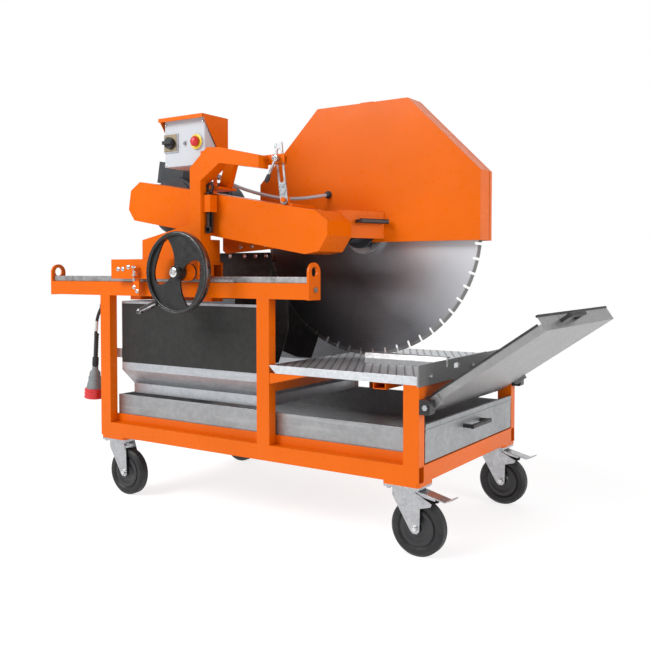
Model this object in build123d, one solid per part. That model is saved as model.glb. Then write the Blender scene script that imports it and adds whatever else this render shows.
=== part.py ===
from build123d import *
import os
from math import atan2, cos, degrees, pi, radians, sin, tan

# Masonry table saw with a travelling, swinging blade head on a wheeled steel frame.
# Millimetres. X runs along the machine, Y from the operator's side to the back, Z up from the floor.
# The model is built from the frame's front left corner and moved at the end, so that its origin
# is the middle of its footprint at floor level.

# ---------------------------------------------------------------- driving dimensions
FRAME_LENGTH = 1566.0
FRAME_WIDTH = 882.0
BASE_Z = 258.0              # underside of the base beams
BEAM_HEIGHT = 60.0
BEAM_WIDTH = 40.0
POST_WIDTH = 60.0
POST_X = (0.0, 873.0, FRAME_LENGTH - POST_WIDTH)
TUBE_WALL = 3.0
BASE_TOP = BASE_Z + BEAM_HEIGHT
REAR_Y = FRAME_WIDTH - BEAM_WIDTH

RAIL_UNDER = 873.0          # underside of the rail beam
RAIL_TOP = 957.0            # running surface of the guide rail
RAIL_LEFT = -325.0
RAIL_RIGHT = 1107.0
RAIL_DEPTH = 75.0
END_PLATE = 10.0

TABLE_LEFT = 935.0
TABLE_RIGHT = 1563.0
TABLE_TOP = 624.0
TABLE_UNDER = 594.0
SLOT_MIDDLE = 430.0         # the blade's plane
SLOT_WIDTH = 24.0

BLADE_RADIUS = 500.0
BLADE_X = 1107.0
BLADE_Z = 1138.0
BLADE_THICKNESS = 5.0
SEGMENTS = 54

ARM_TILT = 9.8              # the arm slopes down to the right
PIVOT_X = 597.0
PIVOT_Z = 1208.0
PIVOT_RADIUS = 25.0
MOTOR_X = 243.0
MOTOR_Z = 1269.0
GUARD_FRONT = 31.0
GUARD_BACK = 190.0
GUARD_HALF_HEIGHT = 83.0
RUNNING_FIT = 0.05
MOTOR_PULLEY = 40.0         # radius
BLADE_PULLEY = 50.0         # radius
GROOVE_Y = (100.0, 118.0, 136.0)
GROOVE_DEPTH = 8.0

HOOD_X = 1109.0
HOOD_HALF_WIDTH = 512.0
HOOD_BOTTOM = 1093.0
HOOD_SHOULDER = 1352.0
HOOD_TOP = 1648.0
HOOD_TOP_HALF = 210.0
HOOD_FRONT = 376.0
HOOD_BACK = 484.0
HOOD_SEAM = 458.0
HINGE_Y = 461.0             # pin of the hood's rear half
HINGE_Z = 1656.0
SHEET = 3.0

COLUMN_LEFT = 562.0
COLUMN_RIGHT = 618.0
COLUMN_FRONT = -30.0
COLUMN_BACK = 30.0
DECK_Z = 1003.0             # underside of the carriage deck

RACK_MODULE = 3.0
PINION_TEETH = 17
PINION_RADIUS = RACK_MODULE * PINION_TEETH / 2
WHEEL_X = 570.0
WHEEL_Z = 973.0
WHEEL_RADIUS = 160.0
PLUNGER_X = 277.0
PLUNGER_Y = -61.0

PANEL_PIVOT_X = 1590.0
PANEL_PIVOT_Z = 522.0
PANEL_SLOPE = 34.5
PANEL_LENGTH = 478.0

BAR_PIN = (977.0, 1246.0)   # lower pin of the depth bar, X and Z
BAR_CLAMP = (957.0, 1400.0)  # clamp bolt in the fork, X and Z
BAR_Y = 36.0
BAR_THICKNESS = 6.0

CASTER_PLATE = (140.0, 110.0)
CASTER_OFFSET = 45.0
CASTER_RADIUS = 100.0
CASTER_X = (71.0, FRAME_LENGTH - 71.0)
CASTER_Y = (55.0, FRAME_WIDTH - 55.0)
CASTER_NAMES = ("front_left", "rear_left", "front_right", "rear_right")

LEAD_DIAMETER = 14.0
LEAD_ROUTE = [
    (-14.0, 20.0, 822.0),
    (-40.0, 20.0, 786.0),
    (-55.0, 21.0, 730.0),
    (-57.0, 22.0, 668.0),
    (-61.0, 24.0, 606.0),
    (-66.0, 25.0, 552.0),
]
HOSE_DIAMETER = 14.0
HOSE_ROUTE = [
    (497, 212, 1380),
    (545, 213, 1356),
    (615, 213, 1327),
    (695, 213, 1302),
    (780, 215, 1281),
    (845, 232, 1270),
    (897, 272, 1272),
    (934, 322, 1282),
    (953, 377, 1292),
]


# ---------------------------------------------------------------- helpers
def block(x0, x1, y0, y1, z0, z1):
    """Box between two corners."""
    return Pos((x0 + x1) / 2, (y0 + y1) / 2, (z0 + z1) / 2) * Box(x1 - x0, y1 - y0, z1 - z0)


def rod_x(x0, x1, y, z, radius):
    """Round bar along X."""
    return Pos((x0 + x1) / 2, y, z) * Rot(0, 90, 0) * Cylinder(radius, x1 - x0)


def rod_y(y0, y1, x, z, radius):
    """Round bar along Y."""
    return Pos(x, (y0 + y1) / 2, z) * Rot(90, 0, 0) * Cylinder(radius, y1 - y0)


def rod_z(z0, z1, x, y, radius):
    """Round bar along Z."""
    return Pos(x, y, (z0 + z1) / 2) * Cylinder(radius, z1 - z0)


def hex_y(y0, y1, x, z, flats):
    """Hexagonal head with its axis along Y."""
    face = Plane.XZ * RegularPolygon(flats / 2, 6, major_radius=False)
    return Pos(x, y1, z) * extrude(face, amount=y1 - y0)


def hex_z(z0, z1, x, y, flats):
    """Hexagonal head with its axis along Z."""
    return Pos(x, y, z0) * extrude(RegularPolygon(flats / 2, 6, major_radius=False), amount=z1 - z0)


def profile_xz(points, y0, y1):
    """Outline in X and Z, extruded between two depths."""
    face = Plane.XZ * make_face(Polyline(*points, close=True))
    return Pos(0, y1, 0) * extrude(face, amount=y1 - y0)


def profile_yz(points, x0, x1):
    """Outline in Y and Z, extruded between two X positions."""
    face = Plane.YZ * make_face(Polyline(*points, close=True))
    return Pos(x0, 0, 0) * extrude(face, amount=x1 - x0)


def tube_along(axis, x0, x1, y0, y1, z0, z1, wall=TUBE_WALL):
    """Rectangular hollow section, open at both ends of its axis."""
    inner = [x0 + wall, x1 - wall, y0 + wall, y1 - wall, z0 + wall, z1 - wall]
    place = "xyz".index(axis) * 2
    inner[place] -= 2 * wall
    inner[place + 1] += 2 * wall
    return block(x0, x1, y0, y1, z0, z1) - block(*inner)


def arm_point(along, across):
    """X and Z of a point on the arm, from its pivot: along the arm to the right, and across it upwards."""
    tilt = radians(ARM_TILT)
    x = PIVOT_X + along * cos(tilt) + across * sin(tilt)
    z = PIVOT_Z - along * sin(tilt) + across * cos(tilt)
    return (x, z)


def arm_outline(points, y0, y1):
    """Outline given along and across the arm, extruded between two depths."""
    return profile_xz([arm_point(along, across) for along, across in points], y0, y1)


# ---------------------------------------------------------------- frame
def make_base_frame():
    """Welded ring of hollow beams, with corner plates below and tray rails inside."""
    parts = []
    for y in (0.0, REAR_Y):
        parts.append(tube_along("x", 0, FRAME_LENGTH, y, y + BEAM_WIDTH, BASE_Z, BASE_TOP))
    for x in POST_X:
        parts.append(tube_along("y", x, x + POST_WIDTH, BEAM_WIDTH, REAR_Y, BASE_Z, BASE_TOP))
    for x in CASTER_X:
        for y in CASTER_Y:
            parts.append(make_corner_plate(x, y))
    rail_height = 35.0
    rail_shelf = 32.0
    thick = 4.0
    for side in (1, -1):
        edge = BEAM_WIDTH if side > 0 else REAR_Y
        inner = edge + side * thick
        shelf = edge + side * (thick + rail_shelf)
        low, high = sorted((edge, inner))
        angle = block(0, FRAME_LENGTH - POST_WIDTH, low, high, BASE_TOP, BASE_TOP + rail_height)
        low, high = sorted((inner, shelf))
        angle += block(0, FRAME_LENGTH - POST_WIDTH, low, high, BASE_TOP, BASE_TOP + thick)
        parts.append(angle)
    return parts


def caster_holes(x, y):
    """Centres of the four bolts of one caster plate."""
    return [(x + dx, y + dy) for dx in (-52.5, 52.5) for dy in (-40.0, 40.0)]


def make_corner_plate(x, y):
    """Plate under a corner, which a caster is bolted to."""
    half_x, half_y = CASTER_PLATE[0] / 2 + 1, CASTER_PLATE[1] / 2
    plate = block(x - half_x, x + half_x, y - half_y, y + half_y, BASE_Z - 12, BASE_Z)
    plate = chamfer(plate.edges().filter_by(Axis.Z), 9)
    for hole_x, hole_y in caster_holes(x, y):
        plate -= rod_z(BASE_Z - 13, BASE_Z + 1, hole_x, hole_y, 5.5)
    return plate


def make_frame_posts():
    """Six posts: two tall front ones under the rail, and short ones elsewhere."""
    front_tops = (RAIL_UNDER, RAIL_UNDER, TABLE_UNDER)
    rear_tops = (848.0, 848.0, TABLE_UNDER)
    parts = []
    for x, front_top, rear_top in zip(POST_X, front_tops, rear_tops):
        parts.append(tube_along("z", x, x + POST_WIDTH, 0, BEAM_WIDTH, BASE_TOP, front_top))
        parts.append(tube_along("z", x, x + POST_WIDTH, REAR_Y, FRAME_WIDTH, BASE_TOP, rear_top))
    parts.append(tube_along("x", POST_WIDTH, POST_X[1], REAR_Y, FRAME_WIDTH, 788, 848))
    return parts


def make_rail_beam():
    """Hollow beam that carries the guide rail."""
    return tube_along("x", RAIL_LEFT, RAIL_RIGHT, 0, RAIL_DEPTH, RAIL_UNDER, 933, 4)


def make_rail_end_plates():
    """Round-topped plates at both ends of the rail, each with a lifting eye."""
    plates = []
    middle_y = RAIL_DEPTH / 2
    crown_z = 972.0
    for x in (RAIL_LEFT - END_PLATE, RAIL_RIGHT):
        plate = block(x, x + END_PLATE, 0, RAIL_DEPTH, RAIL_UNDER - 2, crown_z)
        plate += rod_x(x, x + END_PLATE, middle_y, crown_z, RAIL_DEPTH / 2)
        plate -= rod_x(x - 1, x + END_PLATE + 1, middle_y, crown_z + 3, 20)
        plate -= rod_x(x - 1, x + END_PLATE + 1, middle_y, 909, 6)
        plates.append(plate)
    return plates


def make_guide_rail():
    """Flat steel rail on the beam."""
    rail = block(RAIL_LEFT, RAIL_RIGHT, 10, 65, 933, RAIL_TOP)
    return chamfer(rail.edges().filter_by(Axis.X), 1.5)


def make_gear_rack():
    """Straight rack along the front of the guide rail, in mesh with the handwheel's pinion."""
    pitch_z = WHEEL_Z - PINION_RADIUS
    pitch = pi * RACK_MODULE
    slope = tan(radians(20))
    half = pitch / 4 - 0.12
    first = -46
    last = 20
    points = [(WHEEL_X + (first - 0.5) * pitch, 935)]
    for tooth in range(first, last + 1):
        centre = WHEEL_X + tooth * pitch
        root = half + 1.25 * RACK_MODULE * slope
        tip = half - RACK_MODULE * slope
        points.append((centre - root, pitch_z - 1.25 * RACK_MODULE))
        points.append((centre - tip, pitch_z + RACK_MODULE))
        points.append((centre + tip, pitch_z + RACK_MODULE))
        points.append((centre + root, pitch_z - 1.25 * RACK_MODULE))
    points.append((WHEEL_X + (last + 0.5) * pitch, 935))
    return profile_xz(points, -2, 10)


def make_table_supports():
    """Cross tubes, rear rail and front gusset that carry the table."""
    end_cross = tube_along("y", POST_X[2], FRAME_LENGTH, BEAM_WIDTH, REAR_Y, 550, TABLE_UNDER)
    middle_cross = tube_along("y", POST_X[1], POST_X[1] + POST_WIDTH, BEAM_WIDTH, REAR_Y, 520, 560)
    table_cross = tube_along("y", 1385, 1435, 4, REAR_Y, 570, TABLE_UNDER, 2.5)
    rear_rail = tube_along("x", POST_X[1] + POST_WIDTH, POST_X[2], REAR_Y, FRAME_WIDTH, 554, TABLE_UNDER)
    left = POST_X[1] + POST_WIDTH
    gusset = profile_xz([(left, 552), (left + 178, TABLE_UNDER), (left, TABLE_UNDER)], 2, 8)
    return [end_cross, middle_cross, table_cross, rear_rail, gusset]


def make_table_plates():
    """Two folded table plates with the blade's slot between them."""
    slot_front = SLOT_MIDDLE - SLOT_WIDTH / 2
    slot_back = SLOT_MIDDLE + SLOT_WIDTH / 2
    plates = []
    for y0, y1 in ((0.0, slot_front), (slot_back, FRAME_WIDTH)):
        plate = block(TABLE_LEFT, TABLE_RIGHT, y0, y1, TABLE_UNDER, TABLE_TOP)
        plate -= profile_xz([(934, 621), (965, 593), (934, 593)], y0 - 1, y1 + 1)
        left, right = TABLE_LEFT + 2.5, TABLE_RIGHT - 2.5
        plate -= block(left, right, y0 + 2.5, y1 - 2.5, TABLE_UNDER - 1, TABLE_TOP - 3)
        plates.append(plate)
    return plates


def make_stop_plate():
    """Upright end stop with a notch and a window for the fence's guide."""
    x0, x1 = FRAME_LENGTH, FRAME_LENGTH + 6
    plate = block(x0, x1, -16, 566, 590, 664)
    plate -= block(x0 - 1, x1 + 1, 196, 211, 638, 665)
    plate -= block(x0 - 1, x1 + 1, 262, 308, 628, 647)
    plate += block(x0, x1, 566, 745, 604, 662)
    for y, z in ((72, 620), (424, 624)):
        plate -= rod_x(x0 - 1, x1 + 1, y, z, 5.5)
    return plate


def make_hopper():
    """Folded sheet hopper under the back of the blade: straight walls, a taper and an outlet lip."""
    left, right, front, back = 86.0, 870.0, 45.0, 837.0
    top, fold, throat, lip = 848.0, 547.0, 484.0, 442.0
    inset_x, inset_y = 22.0, 50.0
    wall = 2.0

    def shell(shrink, extra):
        """The hopper's outline, shrunk by a wall, from its lip to its top."""
        x0, x1, y0, y1 = left + shrink, right - shrink, front + shrink, back - shrink
        body = block(x0, x1, y0, y1, fold, top + extra)
        middle = ((x0 + x1) / 2, (y0 + y1) / 2)
        upper = Plane((*middle, fold)) * Rectangle(x1 - x0, y1 - y0)
        lower = Plane((*middle, throat)) * Rectangle(x1 - x0 - 2 * inset_x, y1 - y0 - 2 * inset_y)
        body += loft([lower, upper])
        outlet = block(x0 + inset_x, x1 - inset_x, y0 + inset_y, y1 - inset_y, lip - extra, throat)
        return body + outlet

    hopper = shell(0, 0) - shell(wall, 1)
    hopper -= block(right - 5, right + 1, front + 30, back - 30, 556, top + 1)
    for y0, y1 in ((BEAM_WIDTH, front), (back, REAR_Y)):
        hopper += block(40, left + 3, y0, y1, 600, 640)
        hopper += block(right - 3, right + 40, y0, y1, 600, 640)
    return hopper


def make_hopper_panel():
    """Plain dark sheet on the hopper's front wall."""
    return block(90, 866, 43.2, 45, 581, 837)


def make_hinge_blocks():
    """Two blocks that hold the splash panel's pins."""
    blocks = []
    for y0, y1 in ((0.0, 38.0), (844.0, 882.0)):
        piece = block(FRAME_LENGTH, FRAME_LENGTH + 40, y0, y1, 497, 547)
        piece = fillet(piece.edges().filter_by(Axis.Y).group_by(Axis.X)[-1], 8)
        piece -= rod_y(y0 - 1, y1 + 1, PANEL_PIVOT_X, PANEL_PIVOT_Z, 6)
        blocks.append(piece)
    return blocks


def make_frame_fasteners():
    """Bolts of the casters, the stop, the rail's end plates and the panel's hinge pins."""
    parts = []
    for x in CASTER_X:
        for y in CASTER_Y:
            for hole_x, hole_y in caster_holes(x, y):
                bolt = rod_z(BASE_Z - 26, BASE_Z - 0.5, hole_x, hole_y, 4.9)
                bolt += hex_z(BASE_Z - 27, BASE_Z - 20, hole_x, hole_y, 16)
                parts.append(bolt)
    for y, z in ((72, 620), (424, 624)):
        bolt = rod_x(FRAME_LENGTH + 0.2, FRAME_LENGTH + 8, y, z, 5)
        bolt += rod_x(FRAME_LENGTH + 6, FRAME_LENGTH + 10, y, z, 9)
        parts.append(bolt)
    middle_y = RAIL_DEPTH / 2
    parts.append(rod_x(RAIL_RIGHT + 0.5, RAIL_RIGHT + 12, middle_y, 909, 5.9) + rod_x(
        RAIL_RIGHT + END_PLATE, RAIL_RIGHT + END_PLATE + 6, middle_y, 909, 10))
    parts.append(rod_x(RAIL_LEFT - 12, RAIL_LEFT - 0.5, middle_y, 909, 5.9) + rod_x(
        RAIL_LEFT - END_PLATE - 6, RAIL_LEFT - END_PLATE, middle_y, 909, 10))
    for y0, y1, head0, head1 in ((-1.0, 45.5, -7.0, 0.0), (836.5, 883.0, 882.0, 889.0)):
        pin = rod_y(y0, y1, PANEL_PIVOT_X, PANEL_PIVOT_Z, 6)
        pin += hex_y(head0, head1, PANEL_PIVOT_X, PANEL_PIVOT_Z, 18)
        parts.append(pin)
    return parts


def make_caster_plates():
    """Top plates of the casters, each with its swivel pin."""
    parts = []
    half_x, half_y = CASTER_PLATE[0] / 2, CASTER_PLATE[1] / 2
    for x in CASTER_X:
        for y in CASTER_Y:
            plate = block(x - half_x, x + half_x, y - half_y, y + half_y, 238, BASE_Z - 12)
            plate = fillet(plate.edges().filter_by(Axis.Z), 12)
            plate += rod_z(212, 238, x, y, 12)
            plate += rod_z(208, 212, x, y, 20)
            for hole_x, hole_y in caster_holes(x, y):
                plate -= rod_z(237, 247, hole_x, hole_y, 5.5)
            parts.append(plate)
    return parts


# ---------------------------------------------------------------- power lead
def lead_radii(route):
    """The largest bend at each corner that its two runs allow."""
    radii = []
    for before, corner, after in zip(route, route[1:], route[2:]):
        first = Vector(*corner) - Vector(*before)
        second = Vector(*after) - Vector(*corner)
        half_turn = radians(first.get_angle(second) / 2)
        radii.append(0.45 * min(first.length, second.length) / tan(half_turn))
    return radii


def make_power_lead():
    """Short supply lead that hangs down beside the front left post."""
    radii = lead_radii(LEAD_ROUTE)
    print("lead bend radii", [round(radius) for radius in radii])
    path = FilletPolyline(*LEAD_ROUTE, radius=radii)
    section = Plane(origin=path @ 0, z_dir=path % 0) * Circle(LEAD_DIAMETER / 2)
    lead = sweep(section, path=path)
    ideal = pi * (LEAD_DIAMETER / 2) ** 2 * path.length
    print("lead length", round(path.length), "volume ratio", round(lead.volume / ideal, 3))
    return lead


def direction_between(start, end):
    """Unit vector from one point to another."""
    return (Vector(*end) - Vector(*start)).normalized()


def make_lead_gland():
    """Cable gland on the front left post, aimed down along the lead."""
    start = Vector(*LEAD_ROUTE[0])
    direction = direction_between(LEAD_ROUTE[0], LEAD_ROUTE[1])
    plane = Plane(origin=start - direction * 34, z_dir=direction)
    gland = plane * Pos(0, 0, 17) * Cylinder(11, 34)
    gland += plane * Pos(0, 0, 8) * extrude(RegularPolygon(13, 6, major_radius=False), amount=10)
    gland -= block(0, 60, -30, 60, 780, 900)
    return gland


def make_power_plug():
    """Industrial plug at the lead's lower end, with its collar downwards."""
    end = Vector(*LEAD_ROUTE[-1])
    direction = direction_between(LEAD_ROUTE[-2], LEAD_ROUTE[-1])
    outline = [(0, 0), (11, 0), (13, 14), (24, 26), (29, 60), (33, 92), (44, 96), (44, 150), (0, 150)]
    face = Plane.XZ * make_face(Polyline(*outline, close=True))
    body = revolve(face, Axis.Z)
    body -= Pos(0, 0, 126) * Cylinder(39, 50)
    for angle in range(0, 360, 72):
        pin = Rot(0, 0, angle) * Pos(22, 0, 116) * Cylinder(3.5, 40)
        body += pin
    turn = Plane(origin=end, z_dir=direction, x_dir=(0, 1, 0))
    return turn * body


# ---------------------------------------------------------------- tray
def make_tray():
    """Long slurry tray that slides out to the right like a drawer."""
    x0, x1, y0, y1, z0, z1 = 62.0, FRAME_LENGTH, 47.0, 835.0, 324.0, 426.0
    tray = block(x0, x1, y0, y1, z0, z1)
    tray -= block(x0 + 2, x1 - 2, y0 + 2, y1 - 2, z0 + 2, z1 + 1)
    rim = block(x0, x1 + 2, y0, y1, z1, z1 + 11) - block(x0 + 8, x1 - 8, y0 + 8, y1 - 8, z1 - 1, z1 + 12)
    end = block(x1 - 2, x1, y0, y1, z1, 445) + block(x1 - 8, x1 + 2, y0, y1, 445, 456)
    return tray + rim + end


def make_tray_handle():
    """Bow handle on the tray's front."""
    x = FRAME_LENGTH
    handle = block(x + 30, x + 44, 355, 525, 396, 412)
    handle = fillet(handle.edges().filter_by(Axis.Y), 5)
    for y in (355.0, 507.0):
        handle += block(x, x + 36, y, y + 18, 398, 410)
    return handle


# ---------------------------------------------------------------- splash panel
def panel_place():
    """Frame of the splash panel: X up its slope, Y to the back, Z off its upper face."""
    return Pos(PANEL_PIVOT_X, 0, PANEL_PIVOT_Z) * Rot(0, -PANEL_SLOPE, 0)


def make_splash_panel():
    """Folded sheet panel on two ears, sloping up to the right."""
    low, high = 45.5, 836.5
    panel = block(-80, PANEL_LENGTH, low, high, 0, 2)
    for y in (low, high - 2):
        panel += block(22, PANEL_LENGTH, y, y + 2, 0, 27)
    panel += block(PANEL_LENGTH - 2, PANEL_LENGTH, low, high, 0, 51)
    for y0, y1 in ((40.0, 45.5), (836.5, 842.0)):
        ear = block(0, 44, y0, y1, -13, 24) + rod_y(y0, y1, 0, 0, 16)
        ear -= rod_y(y0 - 1, y1 + 1, 0, 0, 6 + RUNNING_FIT)
        panel += ear
    return panel_place() * panel


def make_panel_trim():
    """Rubber edging on the panel's folded edges, and its handle."""
    low, high = 45.5, 836.5
    parts = []
    for y in (low - 2.5, high - 4.5):
        parts.append(block(24, PANEL_LENGTH - 14, y, y + 7, 27, 34))
    parts.append(block(PANEL_LENGTH - 5, PANEL_LENGTH + 3, low, high, 51, 58))
    handle = block(PANEL_LENGTH + 28, PANEL_LENGTH + 42, 225, 395, 18, 34)
    handle = fillet(handle.edges().filter_by(Axis.Y), 5)
    for y in (225.0, 377.0):
        handle += block(PANEL_LENGTH, PANEL_LENGTH + 34, y, y + 18, 20, 32)
    parts.append(handle)
    return [panel_place() * piece for piece in parts]


def make_fence():
    """Straight work fence on the table, along the cut."""
    outline = [(262, 624.4), (265, 624.4), (265, 643), (271, 661), (300, 661), (300, 664.4),
               (269, 664.4), (262, 645)]
    return profile_yz(outline, 1196, 1540)


# ---------------------------------------------------------------- carriage
def make_carriage_frame():
    """Saddle that wraps the rail from behind: front plate, deck, back plate, shoes and keepers."""
    plate = block(116, 612, -40, -30, 946, 1028)
    shaft_boss = rod_y(-88, -40, WHEEL_X, WHEEL_Z, 34)
    deck_top = DECK_Z + 12
    outline = [(294, deck_top), (COLUMN_LEFT, deck_top), (COLUMN_LEFT, 1164), (294, 1107)]
    gusset = profile_xz(outline, -30, -22)
    deck = block(130, 612, -30, 110, DECK_Z, DECK_Z + 12)
    back = block(130, 612, 100, 110, 855, DECK_Z)
    saddle = plate + shaft_boss + deck + back + gusset
    for x in (140.0, 545.0):
        saddle += block(x, x + 60, 14, 62, RAIL_TOP + 0.5, DECK_Z)
        saddle += block(x, x + 60, RAIL_DEPTH + 0.5, 100, 884, 924)
        saddle += block(x, x + 60, 46, 100, 855, RAIL_UNDER - 0.5)
    saddle += block(COLUMN_LEFT, COLUMN_RIGHT, COLUMN_BACK + 1, 85, DECK_Z + 12, 1104)
    saddle += block(560, 640, 110, 290, 898, 946)
    saddle += block(560, 600, 270, 290, 946, 1054)
    saddle += block(560, 588, 290, 505, 1030, 1054)
    saddle += block(430, 730, 270, 278, 1030, 1054)
    saddle += block(430, 730, 497, 505, 1030, 1054)
    saddle -= rod_y(-100, -29, WHEEL_X, WHEEL_Z, 12 + RUNNING_FIT)
    lock_bracket = block(238, 274, -30, -24, 876, 1000)
    for z in (950.0, 982.0):
        lock_bracket += block(262, 292, -76, -40, z, z + 6)
    lock_bracket -= rod_z(945, 995, PLUNGER_X, PLUNGER_Y, 6 + RUNNING_FIT)
    return saddle + lock_bracket


def make_column():
    """Mitred column and sloping boom, strut, pivot shaft, fork plates and tool sleeve."""
    deck_top = DECK_Z + 12
    outline = [
        (COLUMN_LEFT, deck_top), (COLUMN_RIGHT, deck_top), (COLUMN_RIGHT, 1333), (714, 1396),
        (909, 1364), (909, 1413), (714, 1457), (652, 1462), (COLUMN_LEFT, 1387),
    ]
    column = profile_xz(outline, COLUMN_FRONT, COLUMN_BACK)
    column = fillet(column.edges().filter_by(Axis.Y), 5)
    column += rod_y(COLUMN_BACK - 1, 268, PIVOT_X, PIVOT_Z, PIVOT_RADIUS)
    brace = block(580, 660, COLUMN_BACK, 140, 1304, 1314)
    brace += profile_yz([(COLUMN_BACK, 1314), (COLUMN_BACK, 1360), (70, 1314)], 584, 592)
    strut_foot = Plane((630, 104, 1306)) * Rectangle(50, 30)
    strut_head = Plane((742, 16, 1404)) * Rectangle(50, 26)
    strut = loft([strut_foot, strut_head])
    fork_low, fork_high = 1383.0, 1418.0
    fork = block(800, 985, 27, 33, fork_low, fork_high) + block(800, 985, 45, 51, fork_low, fork_high)
    fork += block(800, 905, 33, 45, fork_low, fork_high)
    fork -= rod_y(20, 60, BAR_CLAMP[0], BAR_CLAMP[1], 5.2)
    box_bracket = block(566, 640, 29, 32, 1385, 1460)
    sleeve = tube_along("z", COLUMN_RIGHT, COLUMN_RIGHT + 38, -16, 26, 1211, 1278)
    return column + brace + strut + fork + box_bracket + sleeve


def make_control_canopy():
    """Folded canopy over the control box: roof, back and two slanted cheeks."""
    left, right, front, back = 352.0, 594.0, 8.0, 166.0
    roof_z, cheek_z = 1607.0, 1477.0
    cheek = [(front, roof_z), (back, roof_z), (back, cheek_z), (100, cheek_z)]
    canopy = block(left, right, front, back, roof_z - 2, roof_z)
    canopy += block(left, right, front, front + 2, roof_z - 16, roof_z)
    canopy += block(left, right, back - 2, back, cheek_z, roof_z)
    for x in (left, right - 2):
        canopy += profile_yz(cheek, x, x + 2)
    return canopy


def make_control_box():
    """Steel control box behind the column, with its switch plate, lamp and stop ring."""
    box = block(364, 586, 32, 162, 1408, 1600)
    box = fillet(box.edges().filter_by(Axis.Z), 6)
    box += block(366, 442, 26, 32, 1467, 1543)
    box += block(474, 486, 29, 32, 1488, 1510)
    box += rod_y(26, 32, 546, 1500, 30)
    box -= rod_y(20, 60, 546, 1500, 11.1)
    box -= rod_y(20, 60, 404, 1505, 8.1)
    box += block(500, 586, 162, 166, 1420, 1470)
    return box


def make_spanners():
    """Blade spanner and pin wrench stored in the sleeve beside the column."""
    x = COLUMN_RIGHT + 19
    spanner = block(x - 13, x + 13, 2, 10, 1130, 1298)
    spanner += rod_y(2, 10, x, 1310, 18)
    spanner -= rod_y(0, 12, x, 1310, 10)
    wrench = block(x - 6, x + 6, -8, -1, 1150, 1290)
    wrench += rod_y(-8, -1, x, 1142, 16)
    wrench -= rod_y(-9, 0, x, 1142, 9)
    return [spanner, wrench]


def make_splash_curtain():
    """Rubber sheets either side of the blade that hang into the hopper."""
    outline = [(400, 858), (545, 858), (545, 640), (700, 597), (775, 597), (806, 673), (826, 736),
               (826, 856), (739, 870), (739, 1056), (400, 1056)]
    front = profile_xz(outline, 265, 270) - block(554, 646, 260, 275, 892, 952)
    rear = profile_xz(outline, 505, 510)
    return [front, rear]


def make_handwheel():
    """Dished handwheel with two leaf openings that leave an S-shaped web."""
    rim = rod_y(-124, -92, 0, 0, WHEEL_RADIUS) - rod_y(-130, -90, 0, 0, WHEEL_RADIUS - 15)
    rim = fillet(rim.edges().filter_by(GeomType.CIRCLE), 5)
    web = rod_y(-112, -104, 0, 0, WHEEL_RADIUS - 10)
    leaf = Spline(
        (-50, 130), (-17, 64), (-17, 20), (-34, -16), (-69, -42),
        (-108, -45), (-125, 0), (-112, 47), (-90, 95),
        periodic=True,
    )
    opening = Pos(0, -108, 0) * extrude(Plane.XZ * make_face(leaf), amount=15, both=True)
    web -= opening
    web -= Rot(0, 180, 0) * opening
    hub = rod_y(-126, -89, 0, 0, 27)
    wheel = rim + web + hub - rod_y(-140, -80, 0, 0, 12)
    wheel = Pos(WHEEL_X, 0, WHEEL_Z) * wheel
    return wheel + crank_plane() * Pos(0, 0, 47) * Cylinder(5, 114)


def crank_plane():
    """Frame of the crank grip: it leans outwards from the wheel's rim."""
    outwards = Vector(-0.64, 0, -0.77)
    lean = radians(30)
    direction = outwards * sin(lean) + Vector(0, -1, 0) * cos(lean)
    origin = Vector(WHEEL_X, -112, WHEEL_Z) + outwards * (WHEEL_RADIUS - 9)
    return Plane(origin=origin, z_dir=direction)


def make_crank_grip():
    """Turned grip that spins on its pin."""
    outline = [(5.06, 14), (9, 14), (12, 24), (13, 50), (11, 82), (12.5, 94), (9, 100), (5.06, 100)]
    face = Plane.XZ * make_face(Polyline(*outline, close=True))
    return crank_plane() * revolve(face, Axis.Z)


def make_pinion_shaft():
    """Handwheel shaft with the pinion cut on its inner end and a washer and screw in front."""
    shaft = rod_y(-126, 9.2, 0, 0, 12) + rod_y(-134, -126, 0, 0, 17)
    base = PINION_RADIUS * cos(radians(20))
    tip = PINION_RADIUS + RACK_MODULE * 0.95
    root = PINION_RADIUS - 1.25 * RACK_MODULE
    half_tooth = pi / (2 * PINION_TEETH) - 0.12 / PINION_RADIUS
    roll = tan(radians(20)) - radians(20)
    flank = []
    for step in range(7):
        radius = base + (tip - base) * step / 6
        unwind = ((radius / base) ** 2 - 1) ** 0.5
        flank.append((radius, half_tooth + roll - (unwind - atan2(unwind, 1))))
    points = []
    for tooth in range(PINION_TEETH):
        middle = -pi / 2 + (tooth + 0.5) * 2 * pi / PINION_TEETH
        points.append((root * cos(middle - flank[0][1]), root * sin(middle - flank[0][1])))
        for radius, angle in flank:
            points.append((radius * cos(middle - angle), radius * sin(middle - angle)))
        for radius, angle in reversed(flank):
            points.append((radius * cos(middle + angle), radius * sin(middle + angle)))
        points.append((root * cos(middle + flank[0][1]), root * sin(middle + flank[0][1])))
    pinion = profile_xz(points, -1.5, 9.2)
    return Pos(WHEEL_X, 0, WHEEL_Z) * (shaft + pinion)


def make_index_plunger():
    """Spring plunger that locks the carriage, pulled up by its cap."""
    plunger = rod_z(937, 990, PLUNGER_X, PLUNGER_Y, 6)
    plunger += rod_z(989, 1000, PLUNGER_X, PLUNGER_Y, 11)
    plunger += rod_z(957, 965, PLUNGER_X, PLUNGER_Y, 9)
    return plunger


def make_clamp_lever():
    """Clamping lever and bolt in the fork."""
    x, z = BAR_CLAMP
    lever = rod_y(16, 58, x, z, 5)
    lever += rod_y(8, 22, x, z, 11)
    lever += rod_y(51.5, 58, x, z, 9)
    arm = Pos(x, 12, z) * Rot(0, 28, 0) * block(-4, 4, -4, 4, -72, 0)
    return lever + arm


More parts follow.
